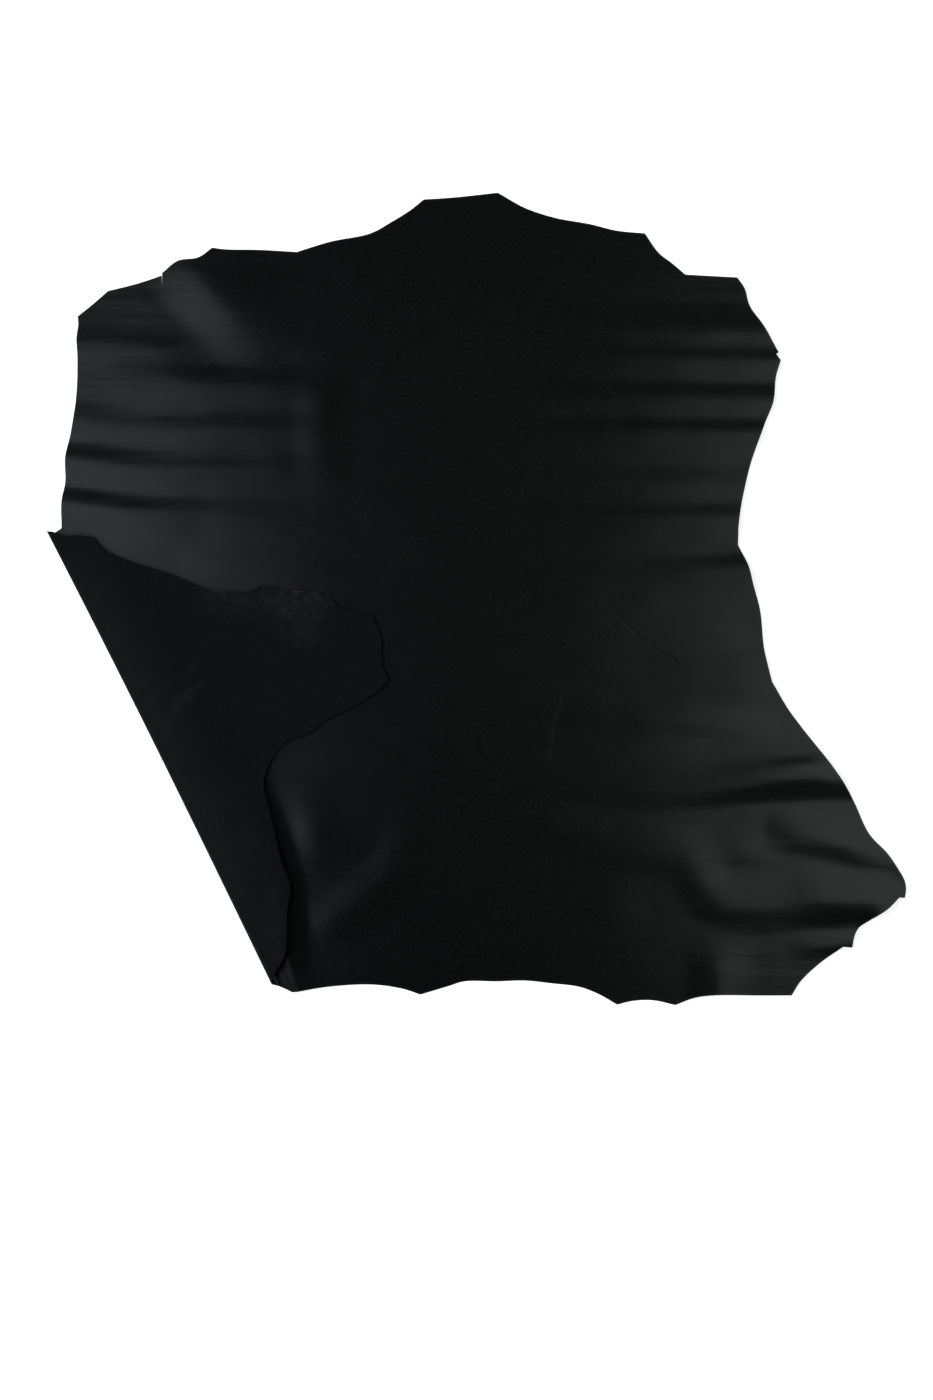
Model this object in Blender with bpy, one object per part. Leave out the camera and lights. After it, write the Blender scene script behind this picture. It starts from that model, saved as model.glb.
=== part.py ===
"""Whole black leather hide, laid grain side up with its left hind leg folded over.

The hide is one piece of leather. It is cut flat along OUTLINE, pressed into the low ripples of
RIPPLES, folded once along a straight line and thickened. Metres, +Z up: +X runs across the hide,
+Y along the backbone towards the neck. The hide rests on Z = 0, with the origin under the middle
of its outer box.
"""
import math
from collections import namedtuple

import bpy
import numpy as np
from mathutils import Vector
from mathutils.geometry import delaunay_2d_cdt

# The leather
THICKNESS = 0.0016
LAYER_GAP = 0.0015          # air left between the folded leg and the hide under it
BLACK_LEATHER = (0.0065, 0.0070, 0.0070, 1.0)
LEATHER_ROUGHNESS = 0.48

# The fold: a straight line down the left side, from the belly edge to the rump edge
FOLD_TOP = np.array((-1.0725, 0.1690))
FOLD_FOOT = np.array((-0.5085, -0.9600))
BEND_REACH = 0.013          # how far the bend bulges past the flat leather at the ends of the fold
BEND_BOW = 0.0045           # how much less it bulges at the middle of the fold
BEND_LENGTH = 0.042         # leather taken up by the bend
ROLL_HEIGHT_TOP = 0.015     # outer height of the rolled bend at each end of the fold
ROLL_HEIGHT_FOOT = 0.038
SETTLE_LENGTH_TOP = 0.20    # how far from the bend the folded leg comes down on the hide
SETTLE_LENGTH_FOOT = 0.40
HEEL_LIFT = 0.003           # the lower layer also rises to the bend at the foot of the fold
HEEL_REACH = 0.050
RIPPLE_START = 0.050        # the bend pulls the ripples flat up to this far from it

# The mesh
EDGE_STEP = 0.028
PATH_STEP = 0.025           # spacing of the points that smooth a ripple's path
LATTICE_ACROSS = 0.062      # the ripples run across the hide, so the triangles are long that way
LATTICE_ALONG = 0.019
LATTICE_MARGIN = 0.010
BEND_ROWS = 10
BEND_COLUMN = 0.036

# The cut edge, clockwise on the flat hide. Each stretch is a smooth curve that starts at its own
# first point and ends at the next stretch's first point, so the edge has a corner between two.
Stretch = namedtuple("Stretch", "name points")
OUTLINE = [
    Stretch("neck", [(-0.131, 0.997), (-0.058, 1.002)]),
    Stretch("right shoulder", [(0.054, 1.014), (0.122, 0.976), (0.198, 0.951), (0.285, 0.935), (0.350, 0.919)]),
    Stretch("right armpit", [(0.421, 0.912), (0.456, 0.863), (0.488, 0.838)]),
    Stretch("right foreleg end", [(0.522, 0.809)]),
    Stretch("right foreleg side", [(0.652, 0.802), (0.671, 0.774), (0.683, 0.732), (0.719, 0.679)]),
    Stretch("right notch", [(0.755, 0.614)]),
    Stretch("right notch side", [(0.749, 0.610)]),
    Stretch("right belly", [(0.760, 0.594), (0.749, 0.555), (0.742, 0.492), (0.719, 0.432), (0.683, 0.327),
                            (0.656, 0.194)]),
    Stretch("right flank", [(0.654, 0.134), (0.679, 0.082), (0.691, 0.037), (0.709, -0.027), (0.720, -0.129)]),
    Stretch("right thigh", [(0.739, -0.209), (0.780, -0.277), (0.878, -0.405), (0.922, -0.468), (0.946, -0.512),
                            (0.982, -0.589), (1.026, -0.636), (1.050, -0.670), (1.070, -0.704), (1.074, -0.726)]),
    Stretch("right shank end", [(1.070, -0.748)]),
    Stretch("right shank", [(1.056, -0.747), (1.026, -0.775), (0.982, -0.804), (0.956, -0.822), (0.944, -0.845)]),
    Stretch("right shank tail", [(0.939, -0.872)]),
    Stretch("right hock", [(0.916, -0.870), (0.860, -0.910), (0.811, -0.956)]),
    Stretch("right rump", [(0.788, -0.992), (0.707, -0.992), (0.598, -0.990), (0.548, -0.997)]),
    Stretch("tail side", [(0.497, -1.016), (0.440, -1.004), (0.388, -1.006)]),
    Stretch("rump", [(0.352, -1.015), (0.308, -0.990), (0.259, -0.971), (0.189, -0.962), (0.120, -0.955),
                     (0.051, -0.957), (-0.030, -0.957), (-0.070, -0.969)]),
    Stretch("left rump", [(-0.140, -0.990), (-0.182, -0.976), (-0.258, -0.965), (-0.357, -0.969)]),
    Stretch("left hock", [(-0.458, -0.984), (-0.496, -0.968), (-0.548, -0.958), (-0.609, -0.948),
                          (-0.646, -0.924), (-0.688, -0.893)]),
    Stretch("left shank", [(-0.735, -0.867), (-0.752, -0.853), (-0.779, -0.809), (-0.824, -0.753),
                           (-0.873, -0.694), (-0.901, -0.658), (-0.930, -0.641), (-0.968, -0.631),
                           (-1.005, -0.630), (-1.033, -0.637), (-1.066, -0.662), (-1.132, -0.682),
                           (-1.194, -0.713), (-1.251, -0.736)]),
    Stretch("left shank end", [(-1.301, -0.747), (-1.318, -0.713), (-1.348, -0.687), (-1.375, -0.665),
                               (-1.393, -0.637)]),
    Stretch("left thigh", [(-1.405, -0.615), (-1.384, -0.568), (-1.374, -0.536), (-1.376, -0.507),
                           (-1.367, -0.470), (-1.335, -0.417), (-1.302, -0.354), (-1.263, -0.328),
                           (-1.243, -0.299), (-1.218, -0.263), (-1.204, -0.219), (-1.185, -0.145),
                           (-1.160, -0.076), (-1.139, -0.004), (-1.136, 0.020)]),
    Stretch("left flank", [(-1.144, 0.059), (-1.126, 0.089), (-1.105, 0.116)]),
    Stretch("left flank under the fold", [(-1.094, 0.147)]),
    Stretch("left flank at the fold", [(-1.080, 0.165)]),
    Stretch("left flank beside the fold", [(-1.055, 0.163)]),
    Stretch("left belly", [(-1.036, 0.176), (-1.034, 0.246), (-1.026, 0.294), (-1.025, 0.356), (-1.011, 0.421),
                           (-0.999, 0.509), (-0.996, 0.604), (-0.998, 0.651), (-0.994, 0.686)]),
    Stretch("left foreleg corner", [(-0.996, 0.704), (-0.959, 0.734)]),
    Stretch("left foreleg end", [(-0.920, 0.768), (-0.848, 0.786)]),
    Stretch("slit, outer lip", [(-0.785, 0.806)]),
    Stretch("slit, inner lip", [(-0.784, 0.768)]),
    Stretch("left foreleg side", [(-0.7838, 0.812), (-0.744, 0.841), (-0.692, 0.849)]),
    Stretch("left armpit", [(-0.658, 0.873), (-0.624, 0.869), (-0.540, 0.869)]),
    Stretch("left shoulder", [(-0.448, 0.865), (-0.361, 0.892), (-0.265, 0.912), (-0.213, 0.940),
                              (-0.165, 0.970)]),
]

# Ripples left by rolling the hide. Each follows its path of (x, y, height) on the flat hide. It
# climbs over a steep face centred on the path, on the right hand of someone walking along it, and
# runs out over a gentle back on the left hand. Face is half the width of that steep face.
Ripple = namedtuple("Ripple", "face back path")
RIPPLES = [
    # left foreleg
    Ripple(0.065, 0.220, [(-0.800, 0.880, 0.009), (-0.764, 0.806, 0.012), (-0.708, 0.738, 0.0125),
                          (-0.645, 0.676, 0.0095), (-0.590, 0.620, 0.0042), (-0.540, 0.560, 0.0)]),
    Ripple(0.030, 0.050, [(-0.700, 0.850, 0.0), (-0.620, 0.843, 0.003), (-0.540, 0.846, 0.0036),
                          (-0.440, 0.850, 0.0026), (-0.330, 0.872, 0.0)]),
    # left belly
    Ripple(0.030, 0.080, [(-0.680, 0.622, 0.0), (-0.800, 0.648, 0.0025), (-0.900, 0.660, 0.0025),
                          (-1.000, 0.668, 0.0025)]),
    Ripple(0.030, 0.090, [(-0.340, 0.550, 0.0), (-0.460, 0.556, 0.003), (-0.600, 0.560, 0.004),
                          (-0.720, 0.566, 0.004), (-0.830, 0.574, 0.0025), (-0.950, 0.585, 0.0)]),
    Ripple(0.030, 0.080, [(-0.340, 0.450, 0.0), (-0.480, 0.452, 0.0035), (-0.640, 0.452, 0.0045),
                          (-0.730, 0.446, 0.0035), (-0.850, 0.452, 0.002), (-1.050, 0.475, 0.004)]),
    Ripple(0.030, 0.080, [(-0.300, 0.356, 0.0), (-0.500, 0.352, 0.003), (-0.700, 0.352, 0.0045),
                          (-0.850, 0.355, 0.0055), (-0.950, 0.366, 0.007), (-1.060, 0.378, 0.007)]),
    Ripple(0.030, 0.080, [(-0.300, 0.225, 0.0), (-0.560, 0.232, 0.003), (-0.720, 0.238, 0.005),
                          (-0.830, 0.240, 0.007), (-0.950, 0.255, 0.0085), (-1.070, 0.270, 0.0085)]),
    Ripple(0.030, 0.080, [(-0.320, 0.115, 0.0), (-0.480, 0.115, 0.002), (-0.600, 0.118, 0.002),
                          (-0.740, 0.125, 0.0)]),
    Ripple(0.042, 0.090, [(-0.318, 0.160, 0.0), (-0.330, 0.265, 0.0007), (-0.338, 0.340, 0.0022),
                          (-0.340, 0.400, 0.0034), (-0.340, 0.470, 0.0034), (-0.334, 0.550, 0.0016),
                          (-0.320, 0.660, 0.0)]),
    # right foreleg and belly
    Ripple(0.040, 0.050, [(0.730, 0.700, 0.0045), (0.600, 0.702, 0.0045), (0.420, 0.706, 0.003),
                          (0.150, 0.706, 0.0)]),
    Ripple(0.028, 0.065, [(0.745, 0.622, 0.0045), (0.600, 0.624, 0.0045), (0.420, 0.628, 0.0035),
                          (0.150, 0.630, 0.0)]),
    Ripple(0.030, 0.055, [(0.760, 0.522, 0.004), (0.600, 0.524, 0.0045), (0.400, 0.526, 0.004),
                          (0.180, 0.530, 0.003), (0.040, 0.530, 0.0)]),
    Ripple(0.030, 0.080, [(0.760, 0.440, 0.005), (0.550, 0.440, 0.0055), (0.350, 0.440, 0.005),
                          (0.180, 0.438, 0.003), (0.020, 0.440, 0.0)]),
    Ripple(0.034, 0.060, [(0.720, 0.310, 0.002), (0.600, 0.311, 0.003), (0.460, 0.312, 0.004),
                          (0.300, 0.318, 0.0025), (0.100, 0.320, 0.0)]),
    Ripple(0.030, 0.085, [(0.690, 0.226, 0.0065), (0.500, 0.226, 0.007), (0.350, 0.225, 0.0055),
                          (0.200, 0.228, 0.0025), (0.020, 0.230, 0.0)]),
    Ripple(0.030, 0.090, [(0.690, 0.100, 0.0085), (0.560, 0.092, 0.0065), (0.460, 0.086, 0.004),
                          (0.300, 0.078, 0.0015), (0.050, 0.070, 0.0)]),
    # right thigh and shank
    Ripple(0.025, 0.065, [(0.740, -0.140, 0.0035), (0.600, -0.142, 0.0025), (0.420, -0.145, 0.0)]),
    Ripple(0.025, 0.065, [(0.780, -0.205, 0.004), (0.640, -0.207, 0.003), (0.440, -0.210, 0.0)]),
    Ripple(0.025, 0.080, [(0.200, -0.325, 0.0), (0.450, -0.330, 0.0035), (0.600, -0.334, 0.0035),
                          (0.760, -0.335, 0.0)]),
    Ripple(0.020, 0.050, [(0.900, -0.398, 0.0), (0.830, -0.403, 0.004), (0.740, -0.413, 0.004),
                          (0.640, -0.422, 0.002), (0.500, -0.430, 0.0)]),
    Ripple(0.032, 0.110, [(0.080, -0.495, 0.0), (0.350, -0.504, 0.003), (0.515, -0.506, 0.006),
                          (0.610, -0.501, 0.008), (0.680, -0.494, 0.009), (0.770, -0.487, 0.0095),
                          (0.900, -0.480, 0.010), (0.980, -0.484, 0.010)]),
    Ripple(0.032, 0.070, [(0.720, -0.612, 0.0), (0.790, -0.618, 0.0048), (0.860, -0.630, 0.006),
                          (0.930, -0.652, 0.0057), (0.985, -0.676, 0.005), (1.040, -0.688, 0.004),
                          (1.095, -0.690, 0.003)]),
    Ripple(0.025, 0.065, [(0.500, -0.655, 0.0), (0.650, -0.655, 0.0025), (0.760, -0.650, 0.0)]),
    Ripple(0.042, 0.090, [(0.060, -0.575, 0.0), (0.190, -0.618, 0.0022), (0.320, -0.655, 0.0024),
                          (0.435, -0.670, 0.0032), (0.508, -0.694, 0.0042), (0.540, -0.749, 0.0048),
                          (0.590, -0.789, 0.0055), (0.660, -0.806, 0.0055), (0.785, -0.801, 0.006),
                          (0.860, -0.796, 0.0095), (0.980, -0.799, 0.011)]),
    Ripple(0.022, 0.050, [(0.780, -0.893, 0.0), (0.860, -0.889, 0.0032), (0.940, -0.880, 0.0036)]),
    Ripple(0.045, 0.110, [(0.525, -0.760, 0.0), (0.548, -0.880, 0.002), (0.560, -0.940, 0.006),
                          (0.560, -1.040, 0.010)]),
    # rump, beside the folded leg
    Ripple(0.033, 0.090, [(-0.470, -0.440, 0.0), (-0.455, -0.520, 0.0017), (-0.441, -0.580, 0.0032),
                          (-0.430, -0.620, 0.0025), (-0.405, -0.680, 0.0)]),
    Ripple(0.042, 0.090, [(-0.205, -0.490, 0.0), (-0.214, -0.595, 0.0021), (-0.258, -0.676, 0.0036),
                          (-0.322, -0.726, 0.0044), (-0.378, -0.758, 0.0035), (-0.430, -0.780, 0.0)]),
    Ripple(0.030, 0.045, [(-0.430, -1.020, 0.010), (-0.440, -0.930, 0.0055), (-0.448, -0.860, 0.005),
                          (-0.446, -0.790, 0.005), (-0.452, -0.716, 0.005), (-0.482, -0.604, 0.005),
                          (-0.522, -0.500, 0.004), (-0.530, -0.430, 0.0)]),
]

FOLD_RUN = (FOLD_FOOT - FOLD_TOP) / np.linalg.norm(FOLD_FOOT - FOLD_TOP)
FOLD_SIDE = np.array((-FOLD_RUN[1], FOLD_RUN[0]))     # square to the fold, towards the backbone
FOLD_LENGTH = float(np.linalg.norm(FOLD_FOOT - FOLD_TOP))
SETTLED_HEIGHT = 2 * THICKNESS + LAYER_GAP
LATTICE_STRETCH = LATTICE_ACROSS / LATTICE_ALONG


def clear_scene():
    for thing in list(bpy.data.objects):
        bpy.data.objects.remove(thing, do_unlink=True)


def smoothstep(t):
    t = np.clip(t, 0.0, 1.0)
    return t * t * (3 - 2 * t)


def curve_point(p0, p1, p2, p3, t):
    """Point at t of the centripetal Catmull-Rom span from p1 to p2."""
    k0 = 0.0
    k1 = k0 + math.sqrt(math.dist(p0, p1))
    k2 = k1 + math.sqrt(math.dist(p1, p2))
    k3 = k2 + math.sqrt(math.dist(p2, p3))
    k = k1 + (k2 - k1) * t
    a1 = p0 * (k1 - k) / (k1 - k0) + p1 * (k - k0) / (k1 - k0)
    a2 = p1 * (k2 - k) / (k2 - k1) + p2 * (k - k1) / (k2 - k1)
    a3 = p2 * (k3 - k) / (k3 - k2) + p3 * (k - k2) / (k3 - k2)
    b1 = a1 * (k2 - k) / (k2 - k0) + a2 * (k - k0) / (k2 - k0)
    b2 = a2 * (k3 - k) / (k3 - k1) + a3 * (k - k1) / (k3 - k1)
    return b1 * (k2 - k) / (k2 - k1) + b2 * (k - k1) / (k2 - k1)


def smooth_run(points, step):
    """Points about one step apart along a smooth curve, without its last point."""
    points = [np.array(point) for point in points]
    padded = [2 * points[0] - points[1], *points, 2 * points[-1] - points[-2]]
    run = []
    for span in zip(padded, padded[1:], padded[2:], padded[3:]):
        pieces = max(1, round(math.dist(span[1], span[2]) / step))
        run += [curve_point(*span, piece / pieces) for piece in range(pieces)]
    return run


def cut_edge():
    """The flat hide's edge as one closed run of points."""
    edge = []
    for stretch, following in zip(OUTLINE, OUTLINE[1:] + OUTLINE[:1]):
        edge += smooth_run([*stretch.points, following.points[0]], EDGE_STEP)
    return np.array(edge)


def along_fold(flat):
    return (flat - FOLD_TOP) @ FOLD_RUN


def off_fold(flat):
    return (flat - FOLD_TOP) @ FOLD_SIDE


def edge_with_bend_rows(edge, row_offsets):
    """The edge with its points inside the bend replaced by its crossings with the bend's rows."""
    offsets = off_fold(edge)
    in_bend = (offsets < row_offsets[0]) & (offsets > row_offsets[-1])
    points = []
    rows = {row: [] for row in range(len(row_offsets))}
    for index in range(len(edge)):
        if not in_bend[index]:
            points.append(edge[index])
        start, end = edge[index], edge[(index + 1) % len(edge)]
        near, far = offsets[index], offsets[(index + 1) % len(edge)]
        crossed = [row for row, offset in enumerate(row_offsets) if (near - offset) * (far - offset) < 0]
        for row in sorted(crossed, key=lambda row: abs(row_offsets[row] - near)):
            rows[row].append(len(points))
            points.append(start + (end - start) * (row_offsets[row] - near) / (far - near))
    return np.array(points), rows


def inside(points, edge):
    """Whether each point is inside the closed edge, by counting the edge's crossings above it."""
    result = np.zeros(len(points), dtype=bool)
    for start, end in zip(edge, np.roll(edge, -1, axis=0)):
        spans = (start[0] > points[:, 0]) != (end[0] > points[:, 0])
        if spans.any():
            height = start[1] + (points[:, 0] - start[0]) * (end[1] - start[1]) / (end[0] - start[0])
            result ^= spans & (points[:, 1] < height)
    return result


def distance_to_edge(points, edge):
    nearest = np.full(len(points), np.inf)
    for start, end in zip(edge, np.roll(edge, -1, axis=0)):
        run = end - start
        t = np.clip((points - start) @ run / (run @ run), 0, 1)
        nearest = np.minimum(nearest, np.linalg.norm(points - start - t[:, None] * run, axis=1))
    return nearest


def lattice_points(edge, row_offsets):
    """Staggered points over the flat hide, clear of its edge and of the bend."""
    low, high = edge.min(axis=0), edge.max(axis=0)
    points = []
    for row, y in enumerate(np.arange(low[1], high[1], LATTICE_ALONG)):
        shift = LATTICE_ACROSS / 2 * (row % 2)
        points += [(x, y) for x in np.arange(low[0] + shift, high[0], LATTICE_ACROSS)]
    points = np.array(points)
    offsets = off_fold(points)
    clear_of_bend = (offsets > row_offsets[0] + LATTICE_MARGIN) | (offsets < row_offsets[-1] - LATTICE_MARGIN)
    points = points[clear_of_bend]
    points = points[inside(points, edge)]
    return points[distance_to_edge(points, edge) > LATTICE_MARGIN]


def flat_mesh():
    """Points and triangles of the flat hide, its bend divided into rows along the fold."""
    row_offsets = BEND_REACH - BEND_LENGTH * np.linspace(0, 1, BEND_ROWS + 1)
    edge, row_ends = edge_with_bend_rows(cut_edge(), row_offsets)
    points = [*edge, *lattice_points(edge, row_offsets)]
    links = []
    columns = round(FOLD_LENGTH / BEND_COLUMN)
    for row in range(BEND_ROWS + 1):
        first, last = sorted(row_ends[row], key=lambda index: along_fold(edge[index]))
        chain = [first, *range(len(points), len(points) + columns - 1), last]
        points += [edge[first] + (edge[last] - edge[first]) * step / columns for step in range(1, columns)]
        links += zip(chain, chain[1:])
    stretched = [Vector((x, y * LATTICE_STRETCH)) for x, y in points]
    result = delaunay_2d_cdt(stretched, links, [list(range(len(edge)))[::-1]], 1, 1e-7)
    flat = np.array([(point.x, point.y / LATTICE_STRETCH) for point in result[0]])
    return flat, result[2]


def ripple_height(points, ripple):
    """Height that one ripple adds at each flat point."""
    path = [*smooth_run(ripple.path, PATH_STEP), ripple.path[-1]]
    nearest = np.full(len(points), np.inf)
    across = np.zeros(len(points))
    crest = np.zeros(len(points))
    for start, end in zip(path, path[1:]):
        run = np.subtract(end[:2], start[:2])
        away = points - start[:2]
        t = np.clip(away @ run / (run @ run), 0, 1)
        side = np.sign(run[0] * away[:, 1] - run[1] * away[:, 0])
        distance = np.linalg.norm(away - t[:, None] * run, axis=1)
        closer = distance < nearest
        nearest[closer] = distance[closer]
        across[closer] = (side * distance)[closer]
        crest[closer] = (start[2] + (end[2] - start[2]) * t)[closer]
    face = smoothstep((across + ripple.face) / (2 * ripple.face))
    back = smoothstep(1 - (across - ripple.face) / ripple.back)
    return crest * face * back


def relief(points):
    return sum(ripple_height(points, ripple) for ripple in RIPPLES)


def fold(flat):
    """Places of the flesh side once the flat hide lies folded: the hide's underside, the outside
    of the bend and the top of the folded leg."""
    along = along_fold(flat)
    off = off_fold(flat)
    to_foot = smoothstep(along / FOLD_LENGTH)
    turn = np.clip((BEND_REACH - off) / BEND_LENGTH, 0, 1) * np.pi
    past_bend = np.maximum(BEND_REACH - BEND_LENGTH - off, 0)
    bulge = BEND_REACH - BEND_BOW * np.sin(np.clip(along / FOLD_LENGTH, 0, 1) * np.pi)
    reach = np.where(off > BEND_REACH, off, BEND_REACH - bulge * np.sin(turn) + past_bend)
    plan = FOLD_TOP + np.outer(along, FOLD_RUN) + np.outer(reach, FOLD_SIDE)

    roll = ROLL_HEIGHT_TOP + (ROLL_HEIGHT_FOOT - ROLL_HEIGHT_TOP) * to_foot
    settle = SETTLE_LENGTH_TOP + (SETTLE_LENGTH_FOOT - SETTLE_LENGTH_TOP) * to_foot
    leg = SETTLED_HEIGHT + (roll - SETTLED_HEIGHT) * smoothstep(1 - past_bend / settle)
    bend = roll * (1 - np.cos(turn)) / 2
    heel = HEEL_LIFT * to_foot * np.clip(1 - reach / HEEL_REACH, 0, 1) ** 2
    ground = relief(plan) * smoothstep((reach - BEND_REACH) / RIPPLE_START)
    height = ground + heel + np.where(past_bend > 0, leg, bend)
    return np.column_stack((plan, height))


def centred(places):
    """The places moved so that the middle of their box is over the origin and the lowest is on Z = 0."""
    low, high = places.min(axis=0), places.max(axis=0)
    return places - np.array(((low[0] + high[0]) / 2, (low[1] + high[1]) / 2, low[2]))


def black_leather():
    material = bpy.data.materials.new("black_leather")
    material.use_nodes = True
    shader = material.node_tree.nodes["Principled BSDF"]
    shader.inputs["Base Color"].default_value = BLACK_LEATHER
    shader.inputs["Roughness"].default_value = LEATHER_ROUGHNESS
    shader.inputs["Metallic"].default_value = 0.0
    return material


def build_hide():
    flat, triangles = flat_mesh()
    mesh = bpy.data.meshes.new("hide")
    mesh.from_pydata(centred(fold(flat)).tolist(), [], triangles)
    mesh.materials.append(black_leather())
    mesh.shade_smooth()
    hide = bpy.data.objects.new("hide", mesh)
    bpy.context.scene.collection.objects.link(hide)
    leather = hide.modifiers.new("leather thickness", "SOLIDIFY")
    leather.thickness = THICKNESS
    leather.offset = 1.0
    leather.use_even_offset = True
    return hide


clear_scene()
build_hide()
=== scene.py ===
"""Whole black leather hide with its left hind leg folded over, dressed and lit.

Adds the leather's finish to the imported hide: a fine sheet in the same folded shape, its grain
side, its suede flesh side and its cut edge, and a plain studio floor, lights and camera. Metres,
+Z up. Run it as a script, or read it as an add-on with one operator for each thing it makes.
"""
import math
from collections import namedtuple

import bpy
import numpy as np
from bpy.props import FloatProperty, FloatVectorProperty, IntProperty, PointerProperty
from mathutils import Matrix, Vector
from mathutils.geometry import delaunay_2d_cdt


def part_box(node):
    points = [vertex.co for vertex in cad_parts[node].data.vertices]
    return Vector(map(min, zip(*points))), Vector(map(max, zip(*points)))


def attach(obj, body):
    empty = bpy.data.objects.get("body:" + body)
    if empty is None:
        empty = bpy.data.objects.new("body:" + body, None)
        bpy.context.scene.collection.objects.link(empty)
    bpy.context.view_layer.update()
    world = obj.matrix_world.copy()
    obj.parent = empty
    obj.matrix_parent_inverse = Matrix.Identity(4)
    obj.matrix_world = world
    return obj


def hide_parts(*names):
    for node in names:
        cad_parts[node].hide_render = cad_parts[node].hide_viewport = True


bl_info = {
    "name": "Folded Leather Hide",
    "version": (1, 0, 0),
    "blender": (4, 5, 0),
    "location": "View3D > Sidebar > Leather",
    "description": "Cuts, folds and finishes a whole leather hide and sets a studio around it",
    "category": "Add Mesh",
}

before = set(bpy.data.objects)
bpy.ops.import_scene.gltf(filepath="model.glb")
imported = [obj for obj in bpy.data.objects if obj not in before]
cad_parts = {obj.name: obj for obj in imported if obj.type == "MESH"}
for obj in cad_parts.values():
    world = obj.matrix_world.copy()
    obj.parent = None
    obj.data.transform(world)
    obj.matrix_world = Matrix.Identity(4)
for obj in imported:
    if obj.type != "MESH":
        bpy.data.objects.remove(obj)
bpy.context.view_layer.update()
HIDE_LOW, HIDE_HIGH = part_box("hide")

# The fold: a straight line down the left side, from the belly edge to the rump edge
FOLD_TOP = np.array((-1.0725, 0.1690))
FOLD_FOOT = np.array((-0.5085, -0.9600))
BEND_REACH = 0.013          # how far the bend bulges past the flat leather at the ends of the fold
BEND_BOW = 0.0045           # how much less it bulges at the middle of the fold
BEND_LENGTH = 0.042         # leather taken up by the bend
HEEL_REACH = 0.050          # how far from the bend the lower layer starts to rise to it
RIPPLE_START = 0.050        # the bend pulls the ripples flat up to this far from it
FOLD_LENGTH = float(np.linalg.norm(FOLD_FOOT - FOLD_TOP))
FOLD_RUN = (FOLD_FOOT - FOLD_TOP) / FOLD_LENGTH
FOLD_SIDE = np.array((-FOLD_RUN[1], FOLD_RUN[0]))     # square to the fold, towards the backbone

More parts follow.
